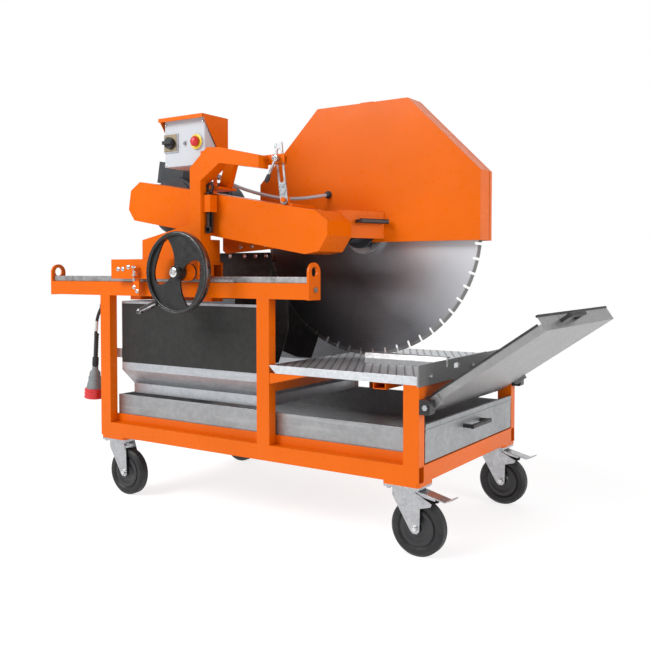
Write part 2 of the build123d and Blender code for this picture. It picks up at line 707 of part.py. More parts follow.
def make_depth_bar():
    """Slotted bar from the arm up through the fork, which holds the cutting depth."""
    x, z = BAR_PIN
    lean = degrees(atan2(BAR_CLAMP[0] - x, BAR_CLAMP[1] - z))
    bar = block(-17.5, 17.5, BAR_Y, BAR_Y + BAR_THICKNESS, 0, 217)
    bar += rod_y(BAR_Y, BAR_Y + BAR_THICKNESS, 0, 0, 17.5)
    slot = block(-9, 9, BAR_Y - 1, BAR_Y + BAR_THICKNESS + 1, 74, 186)
    for end in (74, 186):
        slot += rod_y(BAR_Y - 1, BAR_Y + BAR_THICKNESS + 1, 0, end, 9)
    bar -= slot
    bar -= rod_y(BAR_Y - 1, BAR_Y + BAR_THICKNESS + 1, 0, 0, 6 + RUNNING_FIT)
    return Pos(x, 0, z) * Rot(0, lean, 0) * bar


def make_switch_knob():
    """Turning knob of the main switch."""
    knob = rod_y(12, 26, 404, 1505, 24)
    knob += block(380, 428, 0, 14, 1498, 1512)
    knob += rod_y(26, 50, 404, 1505, 8)
    return knob


def make_stop_button():
    """Mushroom head of the emergency stop."""
    outline = [(0, 0), (20, 0), (20, 6), (14, 13), (8, 16), (0, 17)]
    face = Plane.XZ * make_face(Polyline(*outline, close=True))
    head = Pos(546, 18, 1500) * Rot(90, 0, 0) * revolve(face, Axis.Z)
    return head + rod_y(17, 50, 546, 1500, 11)


# ---------------------------------------------------------------- arm
def make_arm_beam():
    """Arm: back plate, box beam with the pivot boss, lower gusset and depth-bar lug."""
    plate = arm_outline(guard_points(0), GUARD_BACK, GUARD_BACK + 5)
    beam = arm_outline([(-210, -48), (450, -48), (450, 48), (-210, 48)], GUARD_BACK + 5, 268)
    beam -= arm_outline([(-211, -44), (451, -44), (451, 44), (-211, 44)], GUARD_BACK + 9, 264)
    beam += rod_y(GUARD_BACK + 5, 268, PIVOT_X, PIVOT_Z, 42)
    outline = [(543, 1064), (560, 1051), (853, 1071), (853, 1100), (543, 1150)]
    gusset = profile_xz(outline, GUARD_BACK, GUARD_BACK + 5)
    x, z = BAR_PIN
    top = GUARD_HALF_HEIGHT
    lug = block(x - 14, x + 14, BAR_Y + BAR_THICKNESS + 0.5, BAR_Y + 20, z - 13, z + 13)
    pin = rod_y(BAR_Y - 5, BAR_Y + 8, x, z, 6) + rod_y(BAR_Y - 9, BAR_Y - 1, x, z, 9)
    lug_foot = arm_outline([(364, top + 0.3), (404, top + 0.3), (404, top + 10), (364, top + 10)],
                           BAR_Y + 8, GUARD_BACK + 5)
    lug_foot += arm_outline([(364, top - 3), (404, top - 3), (404, top + 10), (364, top + 10)],
                            GUARD_BACK, GUARD_BACK + 5)
    hose_post = block(486, 504, GUARD_BACK + 5, GUARD_BACK + 11, 1250, 1376)
    arm = plate + beam + gusset + lug + pin + lug_foot + hose_post
    arm -= rod_y(GUARD_BACK - 1, 270, PIVOT_X, PIVOT_Z, PIVOT_RADIUS + RUNNING_FIT)
    arm -= rod_y(GUARD_BACK - 1, GUARD_BACK + 6, MOTOR_X, MOTOR_Z, 40)
    arm -= rod_y(GUARD_BACK - 1, 270, BLADE_X, BLADE_Z, 40.2)
    return arm


def guard_points(shrink):
    """Outline of the belt guard, along and across the arm, made smaller by a wall."""
    half = GUARD_HALF_HEIGHT - shrink
    left, right = -447 + shrink, 588 - shrink
    return [
        (left + 48, half), (right - 72, half), (right - 9, half * 0.65), (right, 0),
        (right - 28, -half * 0.76), (right - 88, -half),
        (left + 41, -half), (left, -half * 0.5), (left, half * 0.48),
    ]


def make_belt_guard():
    """Sheet cover over the belts, open at the back, with a slot for the strut."""
    guard = arm_outline(guard_points(0), GUARD_FRONT, GUARD_BACK)
    guard -= arm_outline(guard_points(3), GUARD_FRONT + 3, GUARD_BACK + 1)
    guard -= rod_y(GUARD_FRONT - 1, GUARD_FRONT + 4, PIVOT_X, PIVOT_Z, PIVOT_RADIUS + 3)
    return guard


def make_motor():
    """Flanged motor: finned body, end shield, fan cover and terminal box."""
    motor = rod_y(205, 222, 0, 0, 125)
    motor += rod_y(222, 470, 0, 0, 112)
    fin = block(-1.5, 1.5, 226, 466, 108, 126)
    for index in range(36):
        motor += Rot(0, index * 10, 0) * fin
    motor += rod_y(470, 486, 0, 0, 120)
    motor += rod_y(486, 566, 0, 0, 124)
    motor += Rot(0, 10, 0) * block(-146, 6, 236, 372, 86, 182)
    motor += Rot(0, 10, 0) * rod_x(-168, -146, 300, 150, 15)
    motor -= rod_y(200, 260, 0, 0, 32)
    motor = Pos(MOTOR_X, 0, MOTOR_Z) * motor
    flange = rod_y(195, 205, MOTOR_X, MOTOR_Z, 118) - rod_y(194, 206, MOTOR_X, MOTOR_Z, 42)
    return motor + flange


def make_motor_pulley():
    """Motor shaft with the three-groove drive pulley."""
    shaft = rod_y(95, 258, MOTOR_X, MOTOR_Z, 19)
    return shaft + Pos(MOTOR_X, 0, MOTOR_Z) * grooved_pulley(MOTOR_PULLEY, 18)


def grooved_pulley(radius, bore):
    """Pulley with three V-grooves, its axis along Y."""
    points = [(bore - 1, 88), (radius, 88)]
    for middle in GROOVE_Y:
        points += [(radius, middle - 6.5), (radius - GROOVE_DEPTH, middle - 3.5),
                   (radius - GROOVE_DEPTH, middle + 3.5), (radius, middle + 6.5)]
    points += [(radius, 148), (bore - 1, 148)]
    face = make_face(Polyline(*points, close=True))
    return revolve(face, Axis.Y)


def make_drive_belts():
    """Three belts around both pulleys."""
    belts = []
    for middle in GROOVE_Y:
        loops = []
        for grow in (1.5, -4.5):
            edges = [
                CenterArc((MOTOR_X, MOTOR_Z), MOTOR_PULLEY + grow, 0, 360),
                CenterArc((BLADE_X, BLADE_Z), BLADE_PULLEY + grow, 0, 360),
            ]
            loops.append(extrude(make_hull(edges), amount=6))
        belts.append(Pos(0, middle + 3, 0) * Rot(90, 0, 0) * (loops[0] - loops[1]))
    return belts


def make_spindle_housing():
    """Bearing tube between the arm and the hood, with both bearings."""
    housing = rod_y(152, 197, 0, 0, 40) + rod_y(178, GUARD_BACK, 0, 0, 50)
    housing += rod_y(197, 262, 0, 0, 24) + rod_y(262, 364, 0, 0, 50) + rod_y(362, HOOD_FRONT, 0, 0, 68)
    housing -= rod_y(150, 263, 0, 0, 19)
    housing -= rod_y(262, 400, 0, 0, 36)
    housing += rod_y(154, 174, 0, 0, 20) - rod_y(150, 180, 0, 0, 16 + RUNNING_FIT)
    housing += rod_y(332, 356, 0, 0, 37) - rod_y(330, 360, 0, 0, 25 + RUNNING_FIT)
    return Pos(BLADE_X, 0, BLADE_Z) * housing


def hood_points(shrink):
    """Outline of the hood in X and Z, made smaller by a wall."""
    half = HOOD_HALF_WIDTH - shrink
    top = HOOD_TOP_HALF - shrink * 0.4
    return [
        (HOOD_X - half, HOOD_BOTTOM), (HOOD_X - half, HOOD_SHOULDER - shrink * 0.4),
        (HOOD_X - top, HOOD_TOP - shrink), (HOOD_X + top, HOOD_TOP - shrink),
        (HOOD_X + half, HOOD_SHOULDER - shrink * 0.4), (HOOD_X + half, HOOD_BOTTOM),
    ]


def lowered(points, drop):
    """The same outline with its bottom edge moved down."""
    return [(x, z - drop if z == HOOD_BOTTOM else z) for x, z in points]


def make_hood_shell():
    """Front half of the blade hood, open below and at the back."""
    shell = profile_xz(hood_points(0), HOOD_FRONT, HOOD_SEAM)
    shell -= profile_xz(lowered(hood_points(SHEET), 5), HOOD_FRONT + SHEET, HOOD_SEAM + 1)
    shell -= rod_y(HOOD_FRONT - 1, HOOD_FRONT + 4, BLADE_X, BLADE_Z, 60)
    shell -= rod_y(HOOD_FRONT - 1, HOOD_FRONT + 4, HOSE_ROUTE[-1][0], HOSE_ROUTE[-1][2], 11)
    shell += block(HOOD_X - 30, HOOD_X + 30, 418, 448, HOOD_TOP, HOOD_TOP + 12)
    for x in (HOOD_X - 30, HOOD_X + 17):
        shell += block(x, x + 13, 440, HINGE_Y, HOOD_TOP + 4, HOOD_TOP + 12)
        shell += rod_x(x, x + 13, HINGE_Y, HINGE_Z, 4)
    shell += rod_x(HOOD_X - 30, HOOD_X + 30, HINGE_Y, HINGE_Z, 2)
    return shell


def make_hood_cover():
    """Rear half of the hood, hinged along its top edge."""
    front = HOOD_SEAM + 5
    cover = profile_xz(hood_points(0), front, HOOD_BACK)
    cover -= profile_xz(lowered(hood_points(SHEET), 5), front - 1, HOOD_BACK - SHEET)
    cover += block(HOOD_X - 16.5, HOOD_X + 16.5, front, 475, HOOD_TOP, HOOD_TOP + 6)
    cover += rod_x(HOOD_X - 16.5, HOOD_X + 16.5, HINGE_Y, HINGE_Z, 4)
    cover -= rod_x(HOOD_X - 17, HOOD_X + 17, HINGE_Y, HINGE_Z, 2 + RUNNING_FIT)
    return cover


def make_spindle_cover():
    """Sheet cover between the arm and the hood, with a slanted right side."""
    outline = [(1000, 197), (1136, 197), (1216, 375.5), (1000, 375.5)]
    inner = [(1003, 200), (1134, 200), (1213, 376), (1003, 376)]
    cover = extrude(Plane.XY.offset(1106) * make_face(Polyline(*outline, close=True)), amount=106)
    cover -= extrude(Plane.XY.offset(1100) * make_face(Polyline(*inner, close=True)), amount=109)
    cover -= rod_y(190, 210, BLADE_X, BLADE_Z, 24.4)
    cover -= block(990, 1070, 190, 275, 1100, 1215)
    return cover


def make_hood_handle():
    """Bow handle on the slanted side of the spindle cover."""
    lean = degrees(atan2(80, 178.5))
    handle = block(27, 41, 60, 190, 1162, 1180)
    handle = fillet(handle.edges().filter_by(Axis.Y), 5)
    for y in (60.0, 172.0):
        handle += block(0.3, 34, y, y + 18, 1165, 1177)
    return Pos(1136, 197, 0) * Rot(0, 0, -lean) * handle


def make_water_hose():
    """Water hose clipped along the back of the guard and into the hood's front."""
    radii = lead_radii(HOSE_ROUTE)
    print("hose bend radii", [round(radius) for radius in radii])
    path = FilletPolyline(*HOSE_ROUTE, radius=radii)
    section = Plane(origin=path @ 0, z_dir=path % 0) * Circle(HOSE_DIAMETER / 2)
    hose = sweep(section, path=path)
    ideal = pi * (HOSE_DIAMETER / 2) ** 2 * path.length
    print("hose length", round(path.length), "volume ratio", round(hose.volume / ideal, 3))
    return hose


# ---------------------------------------------------------------- blade
def make_saw_blade():
    """Segmented steel blade with U-shaped gullets between its segments."""
    half = BLADE_THICKNESS / 2
    y = SLOT_MIDDLE
    face = Circle(BLADE_RADIUS - 12) - Circle(30)
    gullet = Pos(BLADE_RADIUS, 0) * Rectangle(44, 10) + Pos(BLADE_RADIUS - 22, 0) * Circle(5)
    gullets = Sketch() + [Rot(0, 0, index * 360 / SEGMENTS) * gullet for index in range(SEGMENTS)]
    core = extrude(Plane.XZ * (face - gullets), amount=2 * (half - 0.6))
    rim = extrude(Plane.XZ * (Circle(BLADE_RADIUS) - Circle(BLADE_RADIUS - 12) - gullets), amount=2 * half)
    blade = Pos(0, y + half - 0.6, 0) * core + Pos(0, y + half, 0) * rim
    return Pos(BLADE_X, 0, BLADE_Z) * blade


def make_blade_flanges():
    """Clamping flanges either side of the blade, and the nut."""
    half = BLADE_THICKNESS / 2 - 0.6
    y = SLOT_MIDDLE
    inner = rod_y(404, y - half, BLADE_X, BLADE_Z, 90) + rod_y(y - half, y + half, BLADE_X, BLADE_Z, 30)
    inner -= rod_y(400, 450, BLADE_X, BLADE_Z, 20)
    outer = rod_y(y + half, 446, BLADE_X, BLADE_Z, 90) - rod_y(400, 450, BLADE_X, BLADE_Z, 20)
    nut = hex_y(446, 463, BLADE_X, BLADE_Z, 46) - rod_y(440, 470, BLADE_X, BLADE_Z, 20)
    return [inner, outer, nut]


def make_spindle_shaft():
    """Blade shaft with its three-groove pulley."""
    shaft = rod_y(80, 270, 0, 0, 16) + rod_y(270, 404, 0, 0, 25) + rod_y(404, 466, 0, 0, 20)
    return Pos(BLADE_X, 0, BLADE_Z) * (shaft + grooved_pulley(BLADE_PULLEY, 15))


# ---------------------------------------------------------------- casters
def make_caster_fork(x, y, braked):
    """Swivel fork with its axle; a braked one has longer upper arms under the pedal."""
    tip = CASTER_OFFSET
    outline = [(-43, 236), (-43, 206), (tip - 18, 92), (tip - 8, 83), (tip + 8, 83), (tip + 17, 92)]
    if braked:
        outline += [(tip + 19, 172), (104, 183), (108, 194), (46, 224), (42, 228), (42, 236)]
    else:
        outline += [(tip + 14, 190), (42, 236)]
    fork = profile_xz(outline, -33, -29) + profile_xz(outline, 29, 33)
    fork += block(-43, 42, -33, 33, 228, 236)
    fork += rod_z(218, 228, 0, 0, 26)
    fork -= rod_z(200, 240, 0, 0, 12 + RUNNING_FIT)
    fork -= rod_z(200, 218, 0, 0, 30)
    fork += rod_y(-36, 36, tip, CASTER_RADIUS, 6)
    fork += hex_y(-41, -33, tip, CASTER_RADIUS, 19) + hex_y(33, 41, tip, CASTER_RADIUS, 19)
    if braked:
        fork -= rod_y(-34, 34, 40, 222, 3 + RUNNING_FIT)
    return Pos(x, y, 0) * fork


def make_caster_wheel(x, y):
    """Rubber-tyred wheel with a stepped hub."""
    outline = [(6.05, -27), (16, -27), (16, -20), (66, -16), (74, -23), (90, -23), (100, -14),
               (100, 14), (90, 23), (74, 23), (66, 16), (16, 20), (16, 27), (6.05, 27)]
    wheel = revolve(make_face(Polyline(*outline, close=True)), Axis.Y)
    return Pos(x + CASTER_OFFSET, y, CASTER_RADIUS) * wheel


def make_brake_pedal(x, y):
    """Folded brake pedal above a caster's wheel, hinged between the fork's arms."""
    outline = [(34, 223), (48, 231), (152, 206), (178, 217), (179, 214), (152, 202.5), (48, 227), (36, 219)]
    pedal = profile_xz(outline, -27, 27)
    for y0, y1 in ((-28.6, -26), (26, 28.6)):
        pedal += profile_xz([(34, 219), (36, 226), (48, 229), (120, 212), (118, 204), (60, 214)], y0, y1)
    pedal += rod_y(-33, 33, 40, 222, 3)
    return Pos(x, y, 0) * pedal


# ---------------------------------------------------------------- build
def build_nodes():
    """Every node by name, in the working frame."""
    nodes = {
        "base_frame": make_base_frame(),
        "frame_posts": make_frame_posts(),
        "rail_beam": make_rail_beam(),
        "rail_end_plates": make_rail_end_plates(),
        "guide_rail": make_guide_rail(),
        "gear_rack": make_gear_rack(),
        "table_supports": make_table_supports(),
        "table_plates": make_table_plates(),
        "stop_plate": make_stop_plate(),
        "hopper": make_hopper(),
        "hopper_panel": make_hopper_panel(),
        "hinge_blocks": make_hinge_blocks(),
        "frame_fasteners": make_frame_fasteners(),
        "caster_plates": make_caster_plates(),
        "lead_gland": make_lead_gland(),
        "power_lead": make_power_lead(),
        "power_plug": make_power_plug(),
        "slurry_tray": make_tray(),
        "tray_handle": make_tray_handle(),
        "splash_panel": make_splash_panel(),
        "panel_trim": make_panel_trim(),
        "work_fence": make_fence(),
        "carriage_frame": make_carriage_frame(),
        "column": make_column(),
        "control_canopy": make_control_canopy(),
        "control_box": make_control_box(),
        "spanners": make_spanners(),
        "splash_curtain": make_splash_curtain(),
        "handwheel": make_handwheel(),
        "pinion_shaft": make_pinion_shaft(),
        "crank_grip": make_crank_grip(),
        "index_plunger": make_index_plunger(),
        "clamp_lever": make_clamp_lever(),
        "depth_bar": make_depth_bar(),
        "switch_knob": make_switch_knob(),
        "stop_button": make_stop_button(),
        "arm_beam": make_arm_beam(),
        "belt_guard": make_belt_guard(),
        "motor": make_motor(),
        "motor_pulley": make_motor_pulley(),
        "drive_belts": make_drive_belts(),
        "spindle_housing": make_spindle_housing(),
        "spindle_cover": make_spindle_cover(),
        "hood_handle": make_hood_handle(),
        "hood_shell": make_hood_shell(),
        "hood_cover": make_hood_cover(),
        "water_hose": make_water_hose(),
        "saw_blade": make_saw_blade(),
        "blade_flanges": make_blade_flanges(),
        "spindle_shaft": make_spindle_shaft(),
    }
    corners = [(x, y) for x in CASTER_X for y in CASTER_Y]
    for name, (x, y) in zip(CASTER_NAMES, corners):
        braked = x > FRAME_LENGTH / 2
        nodes["caster_fork_" + name] = make_caster_fork(x, y, braked)
        nodes["caster_wheel_" + name] = make_caster_wheel(x, y)
        if braked:
            nodes["brake_pedal_" + name] = make_brake_pedal(x, y)
    return nodes


def solids_of(shape):
    """Flat list of the solids in a node."""
    pieces = shape if isinstance(shape, list) else [shape]
    return [solid for piece in pieces for solid in piece.solids()]


def main():
    """Build every node, centre the model on its footprint and write one file per node."""
    nodes = {name: solids_of(shape) for name, shape in build_nodes().items()}
    counted = [solids for name, solids in nodes.items() if name != "power_lead"]
    boxes = [solid.bounding_box() for solids in counted for solid in solids]
    x_middle = (min(box.min.X for box in boxes) + max(box.max.X for box in boxes)) / 2
    y_middle = (min(box.min.Y for box in boxes) + max(box.max.Y for box in boxes)) / 2
    shift = Pos(-x_middle, -y_middle, 0)
    print("origin moved to", round(x_middle, 4), round(y_middle, 4))
    os.makedirs("parts", exist_ok=True)
    for name, solids in nodes.items():
        moved = [shift * solid for solid in solids]
        shape = moved[0] if len(moved) == 1 else Compound(children=moved)
        export_step(shape, f"parts/{name}.step")
    print(len(nodes), "nodes")
    return nodes, shift


if __name__ == "__main__":
    main()
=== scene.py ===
import math

import bmesh
import bpy
from mathutils import Matrix, Vector


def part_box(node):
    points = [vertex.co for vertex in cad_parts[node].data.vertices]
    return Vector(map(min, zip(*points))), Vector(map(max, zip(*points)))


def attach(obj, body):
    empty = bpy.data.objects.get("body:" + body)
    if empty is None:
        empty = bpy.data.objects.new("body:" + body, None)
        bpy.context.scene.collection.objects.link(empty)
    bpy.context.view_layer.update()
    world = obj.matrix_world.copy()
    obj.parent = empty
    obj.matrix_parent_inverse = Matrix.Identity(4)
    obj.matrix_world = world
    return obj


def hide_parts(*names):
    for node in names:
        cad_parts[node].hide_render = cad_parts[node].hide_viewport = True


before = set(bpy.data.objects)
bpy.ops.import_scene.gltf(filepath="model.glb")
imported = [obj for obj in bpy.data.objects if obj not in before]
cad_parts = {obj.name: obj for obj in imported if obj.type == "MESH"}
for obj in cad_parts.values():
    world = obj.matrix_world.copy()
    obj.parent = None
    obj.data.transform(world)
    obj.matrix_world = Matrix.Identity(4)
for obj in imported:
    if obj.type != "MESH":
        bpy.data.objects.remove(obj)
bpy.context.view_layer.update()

# The frame's front left corner, in the row frame, in millimetres. Positions below are in the same
# working millimetres as the CAD source, and at() turns them into metres in the row frame.
CORNER_X = -(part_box("base_frame")[0].x) * 1000
CORNER_Y = -(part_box("base_frame")[0].y) * 1000

# Middles of the blade and of the handwheel, and a caster wheel's middle from its swivel axis, in the
# same working millimetres.
BLADE_MIDDLE = (1107, 430, 1138)
WHEEL_X, WHEEL_Z = 570, 973
CASTER_TRAIL, CASTER_AXLE_Z = 45, 100
# Distances from the blade's middle, in metres, between which its steel turns to the diamond segments.
SEGMENTS_FROM, SEGMENTS_FULL = 0.4865, 0.489
# Pitches of the table's anti-slip pattern along and across the table, in metres.
GRIP_PITCHES = (0.034, 0.062)

FRONT = (0, -1, 0)
BACK = (0, 1, 0)
RIGHT = (1, 0, 0)


def at(x, y, z):
    """A point given in millimetres from the frame's front left corner, z from the floor."""
    return Vector(((x - CORNER_X) / 1000, (y - CORNER_Y) / 1000, z / 1000))


def shade(color, factor, lift=0.0):
    """A darker or lighter version of a colour."""
    return tuple(min(1.0, channel * factor + lift) for channel in color)


def add_object(name, data):
    """A new object in the scene that carries the given data."""
    made = bpy.data.objects.new(name, data)
    bpy.context.scene.collection.objects.link(made)
    return made


# ---------------------------------------------------------------- materials
class Graph:
    """Small helper that builds one node material."""

    def __init__(self, name):
        self.material = bpy.data.materials.new(name)
        self.material.use_nodes = True
        self.nodes = self.material.node_tree.nodes
        self.links = self.material.node_tree.links
        self.shader = self.nodes["Principled BSDF"]
        self.coords = self.nodes.new("ShaderNodeTexCoord").outputs["Object"]

    def set(self, **values):
        for key, value in values.items():
            self.shader.inputs[key.replace("_", " ")].default_value = value
        return self

    def mapped(self, stretch):
        node = self.nodes.new("ShaderNodeMapping")
        node.inputs["Scale"].default_value = stretch
        self.links.new(self.coords, node.inputs["Vector"])
        return node.outputs["Vector"]

    def noise(self, scale, detail=3.0, rough=0.55, stretch=(1, 1, 1), distortion=0.0):
        node = self.nodes.new("ShaderNodeTexNoise")
        node.inputs["Scale"].default_value = scale
        node.inputs["Detail"].default_value = detail
        node.inputs["Roughness"].default_value = rough
        node.inputs["Distortion"].default_value = distortion
        self.links.new(self.mapped(stretch), node.inputs["Vector"])
        return node.outputs["Fac"]

    def cells(self, scale):
        """Random cells, each in its own random colour."""
        node = self.nodes.new("ShaderNodeTexVoronoi")
        node.inputs["Scale"].default_value = scale
        self.links.new(self.coords, node.inputs["Vector"])
        return node.outputs["Color"]

    def span(self, value, low, high, new_low=0.0, new_high=1.0):
        node = self.nodes.new("ShaderNodeMapRange")
        node.inputs["From Min"].default_value = low
        node.inputs["From Max"].default_value = high
        node.inputs["To Min"].default_value = new_low
        node.inputs["To Max"].default_value = new_high
        self.links.new(value, node.inputs["Value"])
        return node.outputs["Result"]

    def math(self, kind, first, second):
        node = self.nodes.new("ShaderNodeMath")
        node.operation = kind
        for socket, value in zip(node.inputs, (first, second)):
            if isinstance(value, (int, float)):
                socket.default_value = value
            else:
                self.links.new(value, socket)
        return node.outputs[0]

    def blend(self, factor, first, second):
        node = self.nodes.new("ShaderNodeMix")
        node.data_type = "RGBA"
        self.links.new(factor, node.inputs["Factor"])
        for socket, value in ((node.inputs["A"], first), (node.inputs["B"], second)):
            if hasattr(value, "__len__"):
                socket.default_value = (*value, 1.0)
            else:
                self.links.new(value, socket)
        return node.outputs["Result"]

    def vector_math(self, kind, first, second=None):
        """Outputs of a vector operation: the vector at 0, or "Value" where it gives a number."""
        node = self.nodes.new("ShaderNodeVectorMath")
        node.operation = kind
        self.links.new(first, node.inputs[0])
        if second is not None:
            node.inputs[1].default_value = second
        return node.outputs

    def parts(self, vector):
        """The three parts of a vector."""
        node = self.nodes.new("ShaderNodeSeparateXYZ")
        self.links.new(vector, node.inputs[0])
        return node.outputs

    def grip_pattern(self):
        """1 in the gaps between the raised lozenges of the anti-slip surface, on upward faces only."""
        place = self.parts(self.coords)
        waves = [self.math("COSINE", self.math("MULTIPLY", place[axis], 2 * math.pi / pitch), 0.0)
                 for axis, pitch in enumerate(GRIP_PITCHES)]
        gap = self.span(self.math("ABSOLUTE", self.math("ADD", *waves), 0.0), 0.5, 0.25)
        geometry = self.nodes.new("ShaderNodeNewGeometry")
        upward = self.span(self.parts(geometry.outputs["Normal"])[2], 0.8, 0.9)
        return self.math("MULTIPLY", gap, upward)

    def color(self, value):
        self.links.new(value, self.shader.inputs["Base Color"])
        return self

    def rough(self, value):
        self.links.new(value, self.shader.inputs["Roughness"])
        return self

    def bump(self, height, distance, strength=1.0, soft_edge=0.0):
        node = self.nodes.new("ShaderNodeBump")
        node.inputs["Distance"].default_value = distance
        node.inputs["Strength"].default_value = strength
        self.links.new(height, node.inputs["Height"])
        if soft_edge:
            bevel = self.nodes.new("ShaderNodeBevel")
            bevel.samples = 6
            bevel.inputs["Radius"].default_value = soft_edge
            self.links.new(bevel.outputs["Normal"], node.inputs["Normal"])
        self.links.new(node.outputs["Normal"], self.shader.inputs["Normal"])
        return self


def paint(name, color, dusty=0.12, roughness=0.3):
    """Gloss powder coat: fine orange peel, soft colour drift, thin dust and softened edges."""
    graph = Graph(name).set(Coat_Weight=0.05, Coat_Roughness=0.1, Specular_IOR_Level=0.16)
    drift = graph.span(graph.noise(2.2, 4), 0.35, 0.7)
    body = graph.blend(drift, shade(color, 0.88), color)
    dust = graph.span(graph.noise(9, 6, 0.7), 0.55, 0.85, 0.0, dusty)
    graph.color(graph.blend(dust, body, shade(color, 0.6, 0.04)))
    graph.rough(graph.span(graph.noise(30, 4), 0.3, 0.75, roughness - 0.06, roughness + 0.12))
    graph.bump(graph.noise(420, 2), 0.0004, 0.35, soft_edge=0.0015)
    return graph.material


def galvanised(name, tone, scratches, spangle=110.0, roughness=0.4, spread=0.07, stained=0.22,
               grip=False):
    """Hot-dip zinc: crystals of slightly different grey, water marks and long scratches."""
    graph = Graph(name).set(Metallic=0.85)
    split = graph.nodes.new("ShaderNodeSeparateColor")
    graph.links.new(graph.cells(spangle), split.inputs["Color"])
    grain = graph.span(split.outputs["Red"], 0.0, 1.0)
    body = graph.blend(grain, shade(tone, 1 - spread), shade(tone, 1 + spread))
    stain = graph.span(graph.noise(7, 7, 0.7, distortion=0.5), 0.42, 0.75, 0.0, stained)
    body = graph.blend(stain, body, shade(tone, 0.55))
    cloud = graph.span(graph.noise(26, 5, 0.65), 0.5, 0.8, 0.0, stained)
    body = graph.blend(cloud, body, shade(tone, 1.3))
    streaks = graph.noise(60, 2, 0.5, stretch=(0.04, 1.6, 1.0))
    scratch = graph.span(streaks, 0.64, 0.7, 0.0, scratches)
    body = graph.blend(scratch, body, shade(tone, 1.35))
    graph.color(body)
    graph.rough(graph.span(split.outputs["Green"], 0.0, 1.0, roughness - 0.05, roughness + 0.08))
    height = graph.math("ADD", graph.noise(150, 3), scratch)
    if grip:
        # With grip, the gaps between the raised lozenges on upward faces are painted much darker: painted
        # shade, besides being sunk by the bump.
        lozenge = graph.grip_pattern()
        graph.color(graph.blend(lozenge, body, shade(tone, 0.2)))
        height = graph.math("SUBTRACT", height, graph.math("MULTIPLY", lozenge, 6.0))
    graph.bump(height, 0.0005, 0.3, soft_edge=0.001)
    return graph.material


def plated(name, tone, roughness=0.3, grime=0.35):
    """Bright zinc or machined steel: fine grain with darker grime."""
    graph = Graph(name).set(Metallic=1.0)
    dirt = graph.span(graph.noise(25, 5, 0.65), 0.5, 0.78, 0.0, grime)
    body = graph.blend(graph.span(graph.noise(90, 3), 0.35, 0.7), shade(tone, 0.88), tone)
    graph.color(graph.blend(dirt, body, (0.09, 0.075, 0.06)))
    graph.rough(graph.span(graph.noise(70, 4), 0.3, 0.7, roughness - 0.08, roughness + 0.16))
    graph.bump(graph.noise(600, 2), 0.0002, 0.4, soft_edge=0.0008)
    return graph.material


def rubber(name, tone, roughness=0.62, dusty=0.25, grain=500):
    """Rubber or grained plastic with a little pale dust."""
    graph = Graph(name)
    dust = graph.span(graph.noise(14, 6, 0.7), 0.46, 0.8, 0.0, dusty)
    graph.color(graph.blend(dust, tone, (0.16, 0.15, 0.14)))
    graph.rough(graph.span(graph.noise(40, 4), 0.3, 0.7, roughness - 0.08, roughness + 0.12))
    graph.bump(graph.noise(grain, 3), 0.0004, 0.5, soft_edge=0.0008)
    return graph.material


def blade_steel(name):
    """Ground steel disc: fine rings about the blade's axis, and a painted reflection, dark at the lower
    left and light towards the upper right.
    """
    graph = Graph(name).set(Metallic=1.0)
    from_middle = graph.vector_math("SUBTRACT", graph.coords, at(*BLADE_MIDDLE))[0]
    in_plane = graph.vector_math("MULTIPLY", from_middle, (1, 0, 1))[0]
    radius = graph.vector_math("LENGTH", in_plane)["Value"]
    ring = graph.nodes.new("ShaderNodeTexNoise")
    ring.noise_dimensions = "1D"
    ring.inputs["Scale"].default_value = 420
    ring.inputs["Detail"].default_value = 3
    graph.links.new(radius, ring.inputs["W"])
    smear = graph.span(graph.noise(4.5, 5, 0.6, distortion=1.0), 0.4, 0.7)
    body = graph.blend(graph.span(ring.outputs["Fac"], 0.3, 0.7), (0.1, 0.1, 0.108),
                       (0.17, 0.17, 0.182))
    body = graph.blend(smear, body, (0.16, 0.16, 0.172))
    # Painted reflection: the steel is blended towards pale grey towards the disc's upper right, with a
    # little noise.
    place = graph.parts(from_middle)
    reflection_tilt = graph.math("ADD", graph.math("MULTIPLY", place[0], 0.9), place[2])
    reflection_sweep = graph.math("ADD", reflection_tilt, graph.math("MULTIPLY", graph.noise(3.0, 3), 0.2))
    body = graph.blend(graph.span(reflection_sweep, -0.12, 0.5), body, (0.74, 0.75, 0.79))
    edge = graph.span(radius, SEGMENTS_FROM, SEGMENTS_FULL)
    graph.color(graph.blend(edge, body, (0.24, 0.235, 0.23)))
    graph.rough(graph.span(ring.outputs["Fac"], 0.3, 0.7, 0.3, 0.42))
    graph.bump(ring.outputs["Fac"], 0.0002, 0.5, soft_edge=0.0008)
    return graph.material


def plain_plastic(name, tone, roughness=0.35):
    """Smooth moulded plastic with a thin gloss."""
    graph = Graph(name).set(Coat_Weight=0.2, Coat_Roughness=0.2)
    graph.color(graph.blend(graph.span(graph.noise(18, 4), 0.35, 0.7), shade(tone, 0.85), tone))
    graph.rough(graph.span(graph.noise(60, 3), 0.3, 0.7, roughness - 0.05, roughness + 0.1))
    graph.bump(graph.noise(700, 2), 0.0002, 0.4, soft_edge=0.0008)
    return graph.material


